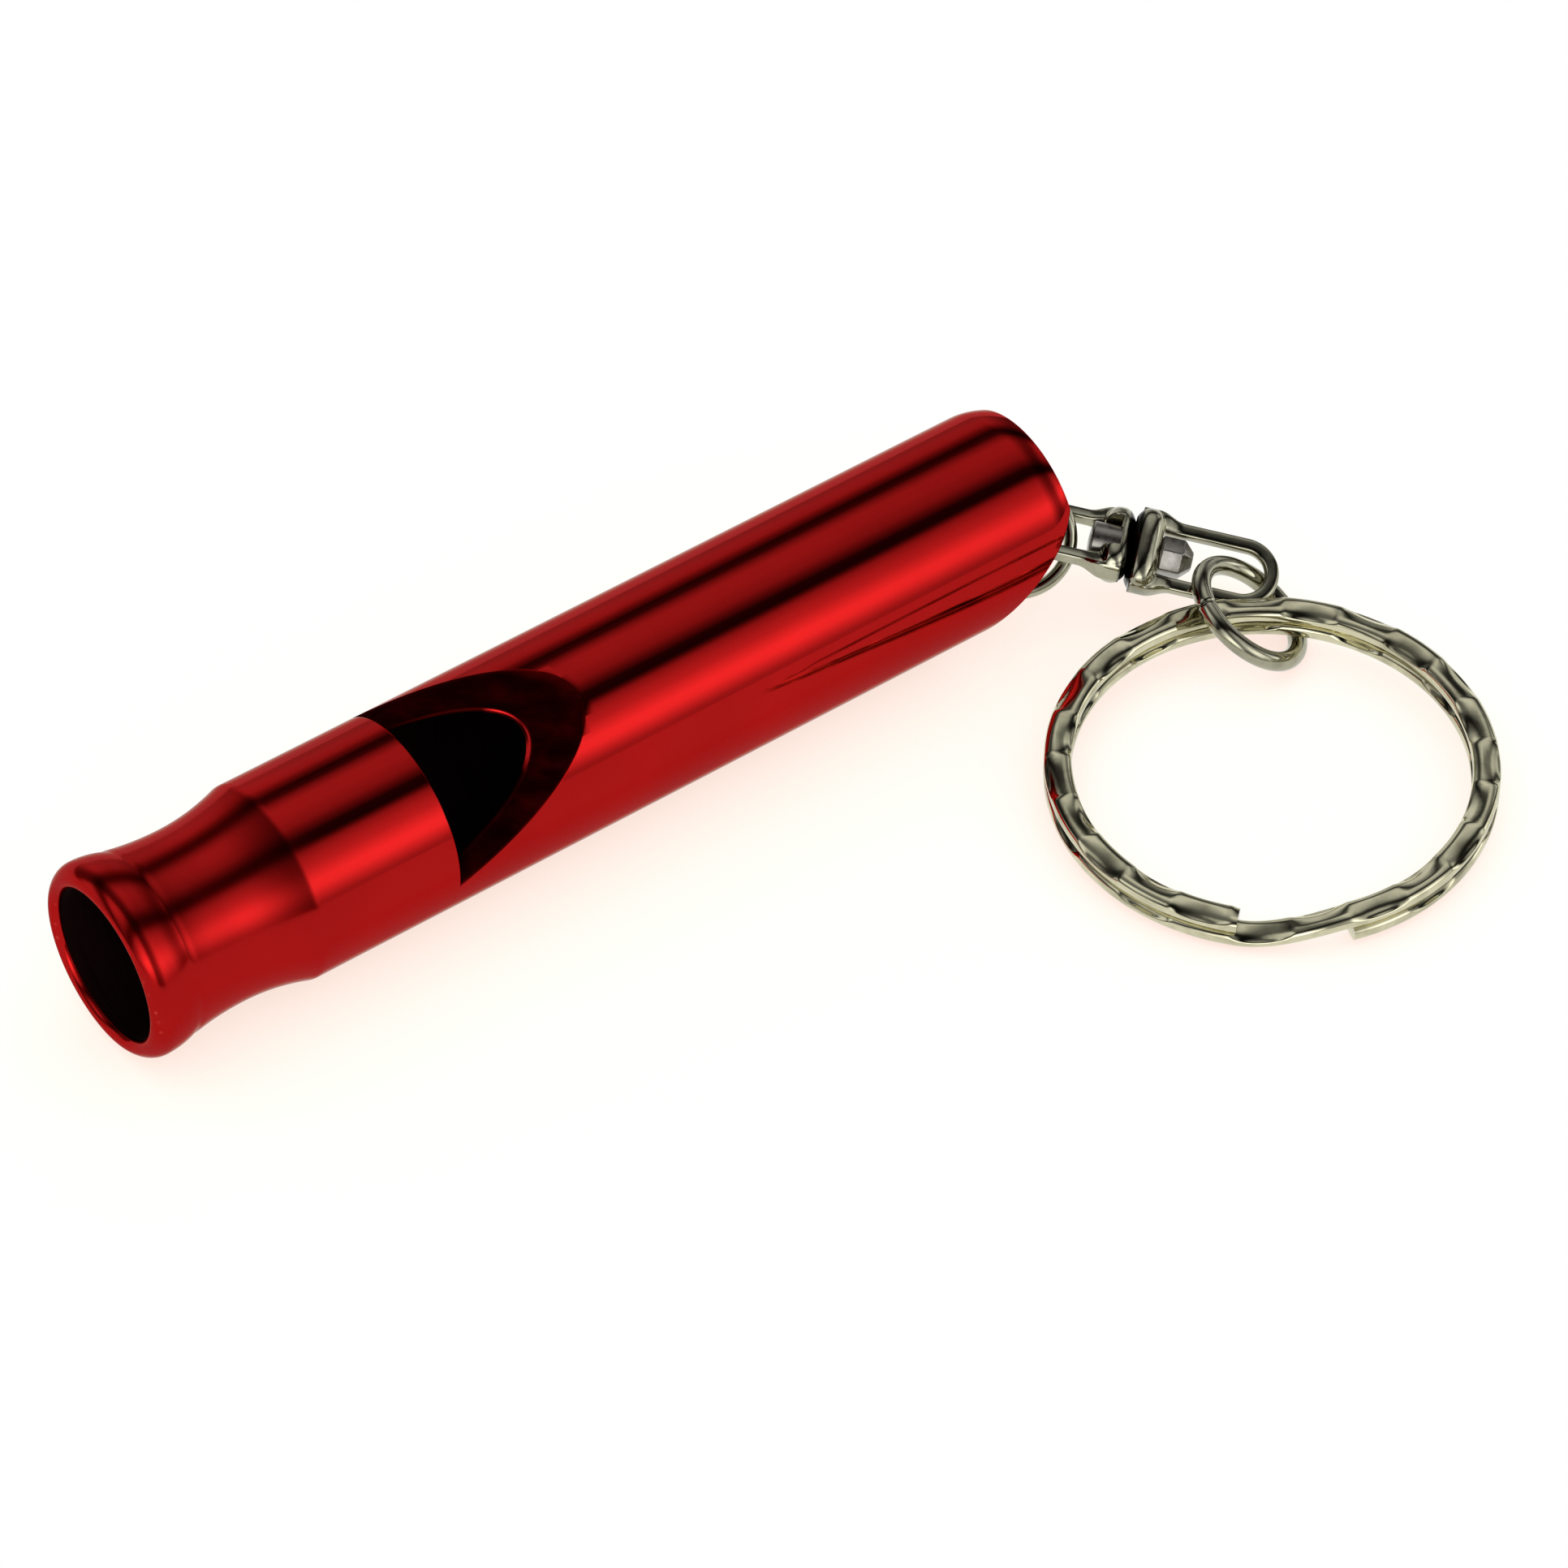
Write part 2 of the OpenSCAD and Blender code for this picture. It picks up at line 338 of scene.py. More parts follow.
def bump(tree, height, depth, strength=1.0, normal=None):
    """Bump whose height 0..1 stands for depth millimetres."""
    node = add_node(tree, "ShaderNodeBump", Height=height, Distance=depth * MM, Strength=strength)
    if normal is not None:
        tree.links.new(normal, node.inputs["Normal"])
    return node.outputs[0]


def edge_wear(tree):
    """Mask of the outer edges, broken up by noise."""
    pointiness = add_node(tree, "ShaderNodeNewGeometry").outputs["Pointiness"]
    edges = remap(tree, pointiness, *WEAR_POINTINESS, 0, 1)
    patches = remap(tree, noise(tree, 0.9), 0.35, 0.65, 0.2, 1)
    return calculate(tree, "MULTIPLY", edges, patches)


def new_material(name, colour, roughness, normal=None, **inputs):
    """Principled material; the values may be sockets of a tree made by start_material."""
    material = bpy.data.materials[name]
    tree = material.node_tree
    shader = add_node(tree, "ShaderNodeBsdfPrincipled", Roughness=roughness, **inputs)
    if isinstance(colour, bpy.types.NodeSocket):
        tree.links.new(colour, shader.inputs["Base Color"])
    else:
        shader.inputs["Base Color"].default_value = (*colour, 1)
    if normal is not None:
        tree.links.new(normal, shader.inputs["Normal"])
    add_node(tree, "ShaderNodeOutputMaterial", Surface=shader.outputs[0])
    return material


def start_material(name):
    """Empty node tree of a material, which may already exist for the CAD nodes."""
    material = bpy.data.materials.get(name) or bpy.data.materials.new(name)
    material.use_nodes = True
    material.node_tree.nodes.clear()
    return material.node_tree


# ---------------------------------------------------------------- materials

# Colours are linear. A roughness is the range that noise spreads it over.
# Anodised outside: dye, cloudy dye, worn edges and the tint at grazing angles.
RED = (0.43, 0.004, 0.004)
RED_CLOUD = (0.37, 0.003, 0.003)
RED_WEAR = (0.60, 0.05, 0.04)
RED_GRAZING = (0.66, 0.33, 0.28)
RED_ROUGHNESS = (0.055, 0.09)
WEAR_POINTINESS = (0.58, 0.70)
EASED_EDGE = 0.09
# The mouthpiece is duller up to HANDLED_X, and the dullness fades out behind it.
HANDLED_X = 9.0
HANDLED_FADE = 4.0
HANDLED_ROUGHNESS = 0.12

# Milled faces: dye, streaks, and the eased edge at the bore, with a painted highlight near the window's tip
# and painted shade along the rest of it.
MILLED_RED = (0.10, 0.001, 0.001)
MILLED_STREAK = (0.22, 0.004, 0.004)
# Painted highlight and painted shade of the eased edge at the bore.
MILLED_PAINTED_HIGHLIGHT = (0.75, 0.02, 0.02)
MILLED_PAINTED_SHADE = (0.03, 0.0008, 0.0008)
MILLED_GRAZING = (0.22, 0.02, 0.02)
MILLED_ROUGHNESS = (0.18, 0.30)
BORE_EDGE = 0.26
# Cosine between a face and its eased normal, where the edge begins and where it is full.
RIM_FACING = (0.995, 0.93)
# Distances past the bore between which the edge fades out.
RIM_FADE = (0.4, 0.6)
# Distances before the window's tip between which the edge's painted shade turns into its painted highlight.
RIM_HIGHLIGHT_REACH = (1.1, 0.5)

# Near-black painted shade inside the tube, with paler boring marks.
BORE_SHADE_DARK = (0.006, 0.0005, 0.0005)
BORE_SHADE_PALE = (0.016, 0.001, 0.001)
BORE_ROUGHNESS = (0.5, 0.7)

NICKEL = (0.42, 0.405, 0.30)
NICKEL_TARNISH = (0.12, 0.115, 0.075)
RING_NICKEL = (0.66, 0.63, 0.44)
RING_TARNISH = (0.13, 0.115, 0.065)
NICKEL_ROUGHNESS = (0.06, 0.13)
# Pointiness of a shallow and of a deep hollow, and how far tarnish fills the deep one.
HOLLOW_POINTINESS = (0.485, 0.41)
HOLLOW_TARNISH = 0.8
# Painted shade in the groove between the two stirrups: its colour, and how far from the joint it reaches.
GROOVE_SHADE = (0.018, 0.017, 0.012)
GROOVE_SHADE_REACH = 0.42

RIVET_DARK = (0.22, 0.205, 0.185)
RIVET_PALE = (0.36, 0.34, 0.31)
RIVET_ROUGHNESS = (0.2, 0.38)

PLASTIC_DARK = (0.006, 0.006, 0.007)
PLASTIC_PALE = (0.014, 0.014, 0.015)
PLASTIC_ROUGHNESS = (0.42, 0.58)

ALUMINIUM_DULL = (0.66, 0.66, 0.67)
ALUMINIUM_BRIGHT = (0.80, 0.80, 0.80)
ALUMINIUM_ROUGHNESS = (0.25, 0.42)


def along_tube(tree):
    """Distance behind the mouthpiece's front face, in millimetres."""
    coords = add_node(tree, "ShaderNodeTexCoord").outputs["Object"]
    return calculate(tree, "DIVIDE", add_node(tree, "ShaderNodeSeparateXYZ", Vector=coords).outputs[0], MM)


def from_axis(tree):
    """Distance from the tube's axis, in millimetres."""
    coords = add_node(tree, "ShaderNodeTexCoord").outputs["Object"]
    parts = add_node(tree, "ShaderNodeSeparateXYZ", Vector=coords)
    squares = [calculate(tree, "POWER", parts.outputs[axis], 2.0) for axis in (1, 2)]
    distance = calculate(tree, "SQRT", calculate(tree, "ADD", *squares))
    return calculate(tree, "DIVIDE", distance, MM)


def eased_normal(tree, radius):
    """Normal that rounds the edges to a radius in millimetres."""
    return add_node(tree, "ShaderNodeBevel", {"samples": 8}, Radius=radius * MM).outputs[0]


def red_anodised():
    """Polished, dyed aluminium: turning marks, cloudy dye, paler edges and a mouthpiece dulled by use."""
    tree = start_material("red_anodised")
    cloud = vary(tree, noise(tree, 0.12, detail=4), 0, 1)
    colour = mix_colour(tree, cloud, RED, RED_CLOUD)
    colour = mix_colour(tree, edge_wear(tree), colour, RED_WEAR)
    turning = noise(tree, 9.0, stretch=(1, 0.04, 0.04), detail=2)
    grain = calculate(tree, "MULTIPLY", noise(tree, 5.0, detail=2), 0.4)
    height = calculate(tree, "ADD", calculate(tree, "MULTIPLY", turning, 0.6), grain)
    polish = vary(tree, noise(tree, 0.35), *RED_ROUGHNESS)
    handled = remap(tree, along_tube(tree), HANDLED_X, HANDLED_X + HANDLED_FADE, HANDLED_ROUGHNESS, 0)
    roughness = calculate(tree, "ADD", polish, handled)
    normal = bump(tree, height, depth=0.0008, strength=0.4, normal=eased_normal(tree, EASED_EDGE))
    return new_material(
        "red_anodised", colour, roughness, normal,
        Metallic=1.0, Specular_Tint=(*RED_GRAZING, 1), Coat_Weight=0.12, Coat_Roughness=0.05,
    )


def red_milled():
    """Milled faces of the tube: thin dye, faint cutter marks, and an eased edge at the bore whose colour is
    a painted highlight near the window's tip and painted shade elsewhere.
    """
    tree = start_material("red_milled")
    marks = noise(tree, 1.6, stretch=(0.3, 0.3, 1), detail=3)
    streak = remap(tree, marks, 0.45, 0.75, 0, 0.6)
    colour = mix_colour(tree, streak, MILLED_RED, MILLED_STREAK)
    flat = add_node(tree, "ShaderNodeNewGeometry").outputs["True Normal"]
    eased = eased_normal(tree, BORE_EDGE)
    facing = add_node(tree, "ShaderNodeVectorMath", {"operation": "DOT_PRODUCT"}, in_0=eased, in_1=flat)
    edge = remap(tree, facing.outputs["Value"], *RIM_FACING, 0, 1)
    inner = remap(tree, from_axis(tree), BORE_R + RIM_FADE[0], BORE_R + RIM_FADE[1], 1, 0)
    tip_x = WINDOW_X + (BORE_R - WINDOW_FLOOR) / math.tan(WINDOW_SLOPE)
    highlight_near_tip = remap(tree, along_tube(tree), tip_x - RIM_HIGHLIGHT_REACH[0], tip_x - RIM_HIGHLIGHT_REACH[1], 0, 1)
    # The eased edge's colour is painted light: a highlight near the window's tip, shade along the rest of
    # the edge.
    painted_edge_colour = mix_colour(tree, highlight_near_tip, MILLED_PAINTED_SHADE, MILLED_PAINTED_HIGHLIGHT)
    colour = mix_colour(tree, calculate(tree, "MULTIPLY", edge, inner), colour, painted_edge_colour)
    roughness = vary(tree, marks, *MILLED_ROUGHNESS)
    normal = bump(tree, marks, depth=0.003, strength=0.4, normal=eased)
    return new_material(
        "red_milled", colour, roughness, normal, Metallic=1.0, Specular_Tint=(*MILLED_GRAZING, 1),
    )


def dark_bore():
    """Inside of the tube: unpolished, with boring marks; its near-black dark red is painted shade inside
    the tube.
    """
    tree = start_material("dark_bore")
    marks = noise(tree, 4.0, stretch=(1, 0.05, 0.05), detail=3)
    colour = mix_colour(tree, marks, BORE_SHADE_DARK, BORE_SHADE_PALE)
    roughness = vary(tree, marks, *BORE_ROUGHNESS)
    normal = bump(tree, marks, depth=0.01, strength=0.6)
    return new_material("dark_bore", colour, roughness, normal, Metallic=0.6, Specular_IOR_Level=0.2)


def nickel(name, bright=NICKEL, dull=NICKEL_TARNISH, groove_shade=None):
    """Nickel plate: bright, slightly warm, with tarnish in the hollows and fine scratches."""
    tree = start_material(name)
    cloud = remap(tree, noise(tree, 0.5, detail=5), 0.45, 0.75, 0, 0.6)
    pointiness = add_node(tree, "ShaderNodeNewGeometry").outputs["Pointiness"]
    hollow = remap(tree, pointiness, *HOLLOW_POINTINESS, 0, HOLLOW_TARNISH)
    colour = mix_colour(tree, calculate(tree, "MAXIMUM", cloud, hollow), bright, dull)
    # Where a mask is given, it paints shade over the colour.
    if groove_shade is not None:
        colour = mix_colour(tree, groove_shade(tree), colour, GROOVE_SHADE)
    scratches = noise(tree, 3.0, stretch=(1, 0.3, 1), detail=6, roughness=0.65)
    waves = noise(tree, 0.8, detail=2)
    wavy = bump(tree, waves, depth=0.025, strength=0.5)
    normal = bump(tree, scratches, depth=0.003, strength=0.4, normal=wavy)
    return new_material(name, colour, vary(tree, noise(tree, 1.2), *NICKEL_ROUGHNESS), normal, Metallic=1.0)


def swivel_groove_shade(tree):
    """Mask of the painted shade in the groove between the two stirrups."""
    joint = JOINTS["swivel_spin"]
    axis = Vector(joint["axis"]).normalized()
    coords = add_node(tree, "ShaderNodeTexCoord").outputs["Object"]
    along = add_node(tree, "ShaderNodeVectorMath", {"operation": "DOT_PRODUCT"}, in_0=coords, in_1=axis)
    past = calculate(tree, "SUBTRACT", along.outputs["Value"], Vector(joint["pos_m"]).dot(axis))
    reach = calculate(tree, "DIVIDE", calculate(tree, "ABSOLUTE", past), GROOVE_SHADE_REACH * MM)
    ragged = calculate(tree, "ADD", reach, vary(tree, noise(tree, 2.0), -0.12, 0.12))
    return remap(tree, ragged, 0.75, 1.05, 1, 0)


def rivet_steel():
    """Plated rivet: duller than the frames, with marks from the header's die."""
    tree = start_material("rivet_steel")
    marks = noise(tree, 2.5, detail=5)
    colour = mix_colour(tree, marks, RIVET_DARK, RIVET_PALE)
    roughness = vary(tree, marks, *RIVET_ROUGHNESS)
    normal = bump(tree, marks, depth=0.03, strength=0.6)
    return new_material("rivet_steel", colour, roughness, normal, Metallic=1.0)


def black_plastic():
    """Moulded black plastic with a fine satin grain."""
    tree = start_material("black_plastic")
    grain = noise(tree, 12.0, detail=3)
    colour = mix_colour(tree, noise(tree, 0.6), PLASTIC_DARK, PLASTIC_PALE)
    roughness = vary(tree, grain, *PLASTIC_ROUGHNESS)
    return new_material("black_plastic", colour, roughness, bump(tree, grain, depth=0.01, strength=0.5))


def bare_aluminium():
    """Turned bare aluminium with fine tool marks round the axis."""
    tree = start_material("bare_aluminium")
    marks = noise(tree, 8.0, stretch=(1, 0.1, 0.1), detail=3)
    colour = mix_colour(tree, noise(tree, 0.7, detail=4), ALUMINIUM_DULL, ALUMINIUM_BRIGHT)
    roughness = vary(tree, marks, *ALUMINIUM_ROUGHNESS)
    normal = bump(tree, marks, depth=0.01, strength=0.7)
    return new_material("bare_aluminium", colour, roughness, normal, Metallic=1.0)


MATERIALS = {
    "red_anodised": red_anodised(),
    "red_milled": red_milled(),
    "dark_bore": dark_bore(),
    "nickel": nickel("nickel"),
    # Nickel with painted shade in the swivel's groove.
    "worn_nickel": nickel("worn_nickel", groove_shade=swivel_groove_shade),
    "ring_nickel": nickel("ring_nickel", RING_NICKEL, RING_TARNISH),
    "rivet_steel": rivet_steel(),
    "black_plastic": black_plastic(),
    "bare_aluminium": bare_aluminium(),
}


def finish_piece(piece, node, slot, materials=None):
    """Gives a piece its materials, puts it on the body of the CAD node that it stands for, and hides that
    node.
    """
    piece.data.materials.clear()
    for name in materials or [slot]:
        piece.data.materials.append(MATERIALS[name])
    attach(piece, frame["nodes"][node]["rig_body"])
    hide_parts(node)


# ---------------------------------------------------------------- whistle tube

def arc_points(centre_x, centre_r, radius, start, end, count):
    """Points (x, r) on an arc; angles in degrees, 0 along +X and 90 away from the axis."""
    made = []
    for step in range(count + 1):
        turn = math.radians(start + (end - start) * step / count)
        made.append((centre_x + radius * math.cos(turn), centre_r + radius * math.sin(turn)))
    return made


def body_radius(x):
    """Outer radius of the tube behind the lip."""
    if x < WAIST_X:
        return WAIST_R + WAIST_FRONT_R - math.sqrt(WAIST_FRONT_R ** 2 - (WAIST_X - x) ** 2)
    if x < BARREL_X:
        return WAIST_R + WAIST_BACK_R - math.sqrt(WAIST_BACK_R ** 2 - (x - WAIST_X) ** 2)
    if x < EASE_X:
        return TUBE_R
    return TUBE_R - EASE_R + math.sqrt(EASE_R ** 2 - (x - EASE_X) ** 2)


def soft_radius(x):
    """Outer radius with the crest between waist and barrel slightly rounded."""
    offsets = [CREST_HALF * (2 * i / (CREST_SAMPLES - 1) - 1) for i in range(CREST_SAMPLES)]
    mean = sum(body_radius(min(TUBE_LEN, x + offset)) for offset in offsets) / CREST_SAMPLES
    return min(mean, body_radius(x) if x > EASE_X else TUBE_R)


def steps_between(start, end, step):
    """Evenly spaced values after start, up to and including end."""
    count = max(1, math.ceil((end - start) / step))
    return [start + (end - start) * i / count for i in range(1, count + 1)]


def tube_profile():
    """Closed outline (x, radius) of the tube: bore edge, lip, waist, barrel, tail and bore."""
    join = math.degrees(math.atan2(LIP_INNER_R, LIP_INNER_R - LIP_X))
    lip_top = MOUTH_BORE_R + LIP_FRONT_R
    back_end = math.degrees(math.acos((LIP_LEN - LIP_X) / LIP_BACK_R))
    inner_r = MOUTH_BORE_R + LIP_INNER_R
    profile = arc_points(LIP_INNER_R, inner_r, LIP_INNER_R, 270, join, LIP_STEPS)
    profile += arc_points(LIP_X, MOUTH_BORE_R, LIP_FRONT_R, join, 90, LIP_STEPS)[1:]
    profile += arc_points(LIP_X, lip_top - LIP_BACK_R, LIP_BACK_R, 90, back_end, LIP_BACK_STEPS)[1:]
    places = steps_between(LIP_LEN, WAIST_X, WAIST_STEP)
    places += steps_between(WAIST_X, BARREL_X - CREST_REACH, WAIST_STEP)
    places += steps_between(BARREL_X - CREST_REACH, BARREL_X + CREST_REACH, CREST_STEP)
    places += steps_between(BARREL_X + CREST_REACH, EASE_X, TUBE_STEP)
    places += steps_between(EASE_X, TUBE_LEN, EASE_STEP)
    profile += [(x, soft_radius(x)) for x in places]
    wall = steps_between(BORE_R, soft_radius(TUBE_LEN), WALL_STEP)
    profile += [(TUBE_LEN, radius) for radius in reversed(wall[:-1])]
    profile.append((TUBE_LEN, BORE_R))
    profile += [(TUBE_LEN + BLOCK_X - x, BORE_R) for x in steps_between(BLOCK_X, TUBE_LEN, TUBE_STEP)]
    mouth = [0.0] + steps_between(0, BLOCK_X - MOUTH_BORE_X, TUBE_STEP)
    profile += [(BLOCK_X - x, MOUTH_BORE_R) for x in mouth]
    return profile


def window_cutter():
    """Wedge above the window's sloping floor and behind its upright wall."""
    rise = 2 * TUBE_R - WINDOW_FLOOR
    outline = [
        (WINDOW_X, WINDOW_FLOOR),
        (WINDOW_X + rise / math.tan(WINDOW_SLOPE), WINDOW_FLOOR + rise),
        (WINDOW_X, WINDOW_FLOOR + rise),
    ]
    cutter = prism("window_cutter", outline, 2 * TUBE_R)
    place(cutter, Matrix.Rotation(WINDOW_ROLL, 4, "X"))
    return cutter


def bevel_cutter():
    """Wedge below the tail's bevel."""
    reach = 2 * TUBE_R
    run = reach / math.tan(BEVEL_SLOPE)
    outline = [(BEVEL_X - run, -reach), (TUBE_LEN + reach, -reach), (BEVEL_X + run, reach)]
    return prism("bevel_cutter", outline, 2 * TUBE_R)


TUBE_MATERIALS = ["red_anodised", "red_milled", "dark_bore"]
OUTSIDE, MILLED, BORE = range(3)


def tube_face_kind(centre, normal):
    """Which of the tube's materials a face has."""
    radius = math.hypot(centre.y, centre.z)
    roll = Matrix.Rotation(-WINDOW_ROLL, 3, "X")
    window_normal = Vector((-math.sin(WINDOW_SLOPE), 0, math.cos(WINDOW_SLOPE)))
    bevel_normal = Vector((math.sin(BEVEL_SLOPE), 0, -math.cos(BEVEL_SLOPE)))
    flat = 0.999
    in_bore = radius < MOUTH_BORE_R + 0.01
    if centre.x < LIP_LEN:
        return BORE if in_bore and centre.x > LIP_INNER_R else OUTSIDE
    if (roll @ normal).dot(window_normal) > flat or normal.dot(bevel_normal) > flat:
        return MILLED
    if normal.x > flat and BARREL_X < centre.x < WINDOW_X + 1:
        return MILLED
    return BORE if in_bore else OUTSIDE


def whistle_tube():
    """Turned tube with its window and its bevelled tail."""
    tube = revolve("tube", tube_profile(), TUBE_SEGMENTS, closed=True)
    cut(tube, window_cutter())
    cut(tube, bevel_cutter())
    tidy_mesh(tube, TUBE_MERGE)
    shade_smooth(tube, 30)
    finish_piece(tube, "whistle_tube", "red_anodised", TUBE_MATERIALS)
    for face in tube.data.polygons:
        face.material_index = tube_face_kind(face.center / MM, face.normal)


# ---------------------------------------------------------------- plugs

def plugs():
    """The two plugs keep their CAD shape and get their finish."""
    for node, slot in (("fipple_plug", "black_plastic"), ("tail_plug", "bare_aluminium")):
        plug = frame["nodes"][node]
        plug.data.materials.clear()
        plug.data.materials.append(MATERIALS[slot])


# ---------------------------------------------------------------- jump rings

TAIL_WIRE_R = 0.4
LINK_WIRE_R = 0.56
JUMP_GAP = 0.05
JUMP_END_ROUND = 0.06
JUMP_END_NARROWING = 0.12
JUMP_SECTION = 40
JUMP_STATIONS = 200


def jump_ring(name, node, joint_name, wire_r, gap_turn):
    """Wire ring with a closed butt joint, at gap_turn degrees from the point that the joint holds."""
    joint = JOINTS[joint_name]
    centre = box_centre(node)
    held = millimetres(joint["pos_m"]) - centre
    ring_r = held.length
    held.normalize()
    normal = held.cross(Vector(joint["axis"])).normalized()
    across = normal.cross(held)
    half_gap = math.degrees(JUMP_GAP / 2 / ring_r)
    stations = []
    for step in range(JUMP_STATIONS + 1):
        share = step / JUMP_STATIONS
        turn = math.radians(gap_turn + half_gap + share * (360 - 2 * half_gap))
        from_end = min(share, 1 - share) * 2 * math.pi * ring_r
        end_share = 1 - min(1.0, from_end / JUMP_END_ROUND)
        radius = wire_r * (1 - JUMP_END_NARROWING * end_share ** 2)
        outwards = held * math.cos(turn) + across * math.sin(turn)
        section = []
        for i in range(JUMP_SECTION):
            phase = 2 * math.pi * i / JUMP_SECTION
            out_by = ring_r + radius * math.cos(phase)
            section.append(centre + outwards * out_by + normal * radius * math.sin(phase))
        stations.append(section)
    ring = sweep(name, stations, closed=False)
    shade_smooth(ring, 50)
    finish_piece(ring, node, "nickel")


# ---------------------------------------------------------------- swivel

STIRRUP_LEN = 8.5
STIRRUP_W = 4.15
STIRRUP_GAP = 0.2
REAR_ROLL = math.radians(25.1)

# Loop: its bar, and the flare where it joins the base, as shares of the base's extra height and bulge.
LEG_W = 0.8
LEG_T = 0.75
LEG_POWER = 4.5
LEG_POINTS = 32
LOOP_STEPS = 24
FLARE_LEN = 1.4
FLARE_IN_BASE = 0.2
FLARE_HEIGHT = 0.45
FLARE_WIDTH = 1.2

# Base: a pillow that is rounded at its ends and bulges between them.
BASE_H = 2.05
BASE_LEN = 1.45
BASE_BULGE = 0.34
BASE_ROUND = 0.2
BASE_MELT = 0.1
BASE_POWER = 3.2
PILLOW_POWER = 2.8
BASE_POINTS = 64
BASE_STEPS = 14
SLOT_START = 0.55
SLOT_HALF_W = 1.2

# Melting of the loop and the base into one casting.
SWIVEL_VOXEL = 0.05
POLISH_FACTOR = 0.5
POLISH_PASSES = 12

# Rivet and its bores.
SHANK_R = 0.65
FRONT_HEAD_R = 1.08
FRONT_HEAD_LEN = 0.85
FRONT_HEAD_RIM = 0.6
REAR_HEAD_R = 1.15
REAR_HEAD_LEN = 1.9
REAR_CONE_LEN = 0.6
REAR_HEAD_SIDES = 6
HEAD_EDGE = 0.12
RUN_GAP = 0.07
HEAD_GAP = 0.1
DOME_STEPS = 12
ROUND_SEGMENTS = 64
BORE_ENDS = (-1, 3)


def swivel_frame(forwards, roll):
    """Frame whose X runs along the swivel's axis, to the rear stirrup's end unless forwards."""
    joint = JOINTS["swivel_spin"]
    axis = Vector(joint["axis"]).normalized()
    lateral = Z_AXIS.cross(axis).normalized()
    lateral.rotate(Quaternion(axis, roll))
    if forwards:
        axis.negate()
    return local_frame(millimetres(joint["pos_m"]), axis, lateral)


def stirrup_path(half_w, end_x, start_x, count):
    """Points (x, y) and headings along a stirrup's loop: a leg, the round end and the other leg."""
    bend_x = end_x - half_w
    path = []
    for i in range(count):
        path.append((start_x + (bend_x - start_x) * i / count, half_w, 0.0))
    for i in range(2 * count + 1):
        turn = math.pi / 2 - math.pi * i / (2 * count)
        path.append((bend_x + half_w * math.cos(turn), half_w * math.sin(turn), math.pi / 2 - turn))
    for i in range(count - 1, -1, -1):
        path.append((start_x + (bend_x - start_x) * i / count, -half_w, math.pi))
    return path


def stirrup_loop():
    """Flat bar of the loop, which flares out where it joins the base."""
    base_end = STIRRUP_GAP / 2 + BASE_LEN
    start = STIRRUP_GAP / 2 + BASE_ROUND
    stations = []
    for x, y, turned in stirrup_path((STIRRUP_W - LEG_W) / 2, STIRRUP_LEN - LEG_W / 2, start, LOOP_STEPS):
        flare = 1 - smooth_step((x - base_end + FLARE_LEN * FLARE_IN_BASE) / FLARE_LEN)
        height = LEG_T + (BASE_H - LEG_T) * FLARE_HEIGHT * flare
        width = LEG_W + FLARE_WIDTH * BASE_BULGE * flare
        outwards = Vector((math.sin(turned), math.cos(turned), 0))
        section = [
            Vector((x, y, 0)) + outwards * (across + (width - LEG_W) / 2) + Z_AXIS * up
            for across, up in superellipse(width, height, LEG_POWER, LEG_POINTS)
        ]
        stations.append(section)
    return sweep("loop", stations, closed=False)


def stirrup_base():
    """Pillow-shaped block of the base, wider than the loop and rounded at both of its ends."""
    stations = []
    for i in range(BASE_STEPS + 1):
        turn = math.pi * i / BASE_STEPS
        x = STIRRUP_GAP / 2 + BASE_LEN / 2 - (BASE_LEN / 2 + BASE_MELT) * math.cos(turn)
        end_share = abs(math.cos(turn)) ** PILLOW_POWER
        inset = BASE_ROUND * end_share - BASE_BULGE * (1 - end_share)
        outline = superellipse(STIRRUP_W - 2 * inset, BASE_H - 2 * inset, BASE_POWER, BASE_POINTS)
        stations.append([Vector((x, across, up)) for across, up in outline])
    return sweep("base", stations, closed=False)


def slot_cutter():
    """Block that opens the base from the loop's side, which leaves a thin bridge for the rivet's head."""
    start, end = STIRRUP_GAP / 2 + SLOT_START, STIRRUP_GAP / 2 + 2 * BASE_LEN
    outline = [(start, -BASE_H), (end, -BASE_H), (end, BASE_H), (start, BASE_H)]
    return prism("slot", outline, SLOT_HALF_W)


def bore_cutter(radius):
    """Round cutter along the X axis for the rivet's bore."""
    start, end = BORE_ENDS
    outline = [(start, 0), (start, radius), (end, radius), (end, 0)]
    return revolve("bore", outline, ROUND_SEGMENTS, closed=False)


def join_objects(target, other):
    """Adds another object's mesh to the target's, and removes the other object."""
    mesh = bmesh.new()
    mesh.from_mesh(target.data)
    mesh.from_mesh(other.data)
    mesh.to_mesh(target.data)
    mesh.free()
    bpy.data.objects.remove(other)


def stirrup(name, node, forwards, roll, hole_r):
    """Cast stirrup: the loop and the base melted together, then bored for the rivet."""
    piece = stirrup_loop()
    piece.name = name
    base = stirrup_base()
    if forwards:
        cut(base, slot_cutter())
    join_objects(piece, base)
    remesh = piece.modifiers.new("melt", "REMESH")
    remesh.mode = "VOXEL"
    remesh.voxel_size = SWIVEL_VOXEL * MM
    smooth = piece.modifiers.new("polish", "SMOOTH")
    smooth.factor = POLISH_FACTOR
    smooth.iterations = POLISH_PASSES
    apply_modifiers(piece)
    cut(piece, bore_cutter(hole_r))
    tidy_mesh(piece)
    shade_smooth(piece, 40)
    place(piece, swivel_frame(forwards, roll))
    finish_piece(piece, node, "nickel", ["worn_nickel"])


